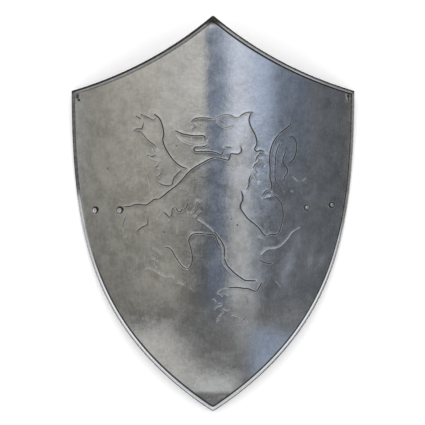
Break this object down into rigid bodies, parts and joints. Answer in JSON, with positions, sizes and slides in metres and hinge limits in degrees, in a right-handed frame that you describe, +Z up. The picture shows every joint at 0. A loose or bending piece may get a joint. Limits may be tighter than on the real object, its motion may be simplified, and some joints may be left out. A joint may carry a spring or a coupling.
{
  "type": "heater shield",
  "caption": "Curved steel heater shield with a rolled rim, an incised lion rampant, domed rivets and a leather arm strap behind; it lies face up.",
  "frame": {"origin": "middle of the bounding box at the level of the ground that the shield lies on, face up", "axes": "+Z up, out of the face; +Y towards the peak at the head end; +X to the right as seen from the front"},
  "size_m": [0.5082, 0.6856, 0.1222],
  "materials": {
    "plate_steel": "satin, lightly polished bare steel with fine vertical streaks, stains and dirt in the lines",
    "rivet_steel": "polished domed heads with dark dirt round them",
    "washer_steel": "dull bare steel",
    "strap_leather": "dark brown vegetable-tanned leather, waxed"
  },
  "bodies": {
    "root": {"shield_plate": "plate_steel", "arm_strap": "strap_leather", "rivet_left_outer": "rivet_steel", "rivet_left_inner": "rivet_steel", "rivet_right_inner": "rivet_steel", "rivet_right_outer": "rivet_steel", "washer_left_outer": "washer_steel", "washer_left_inner": "washer_steel", "washer_right_inner": "washer_steel", "washer_right_outer": "washer_steel"}
  },
  "joints": []
}
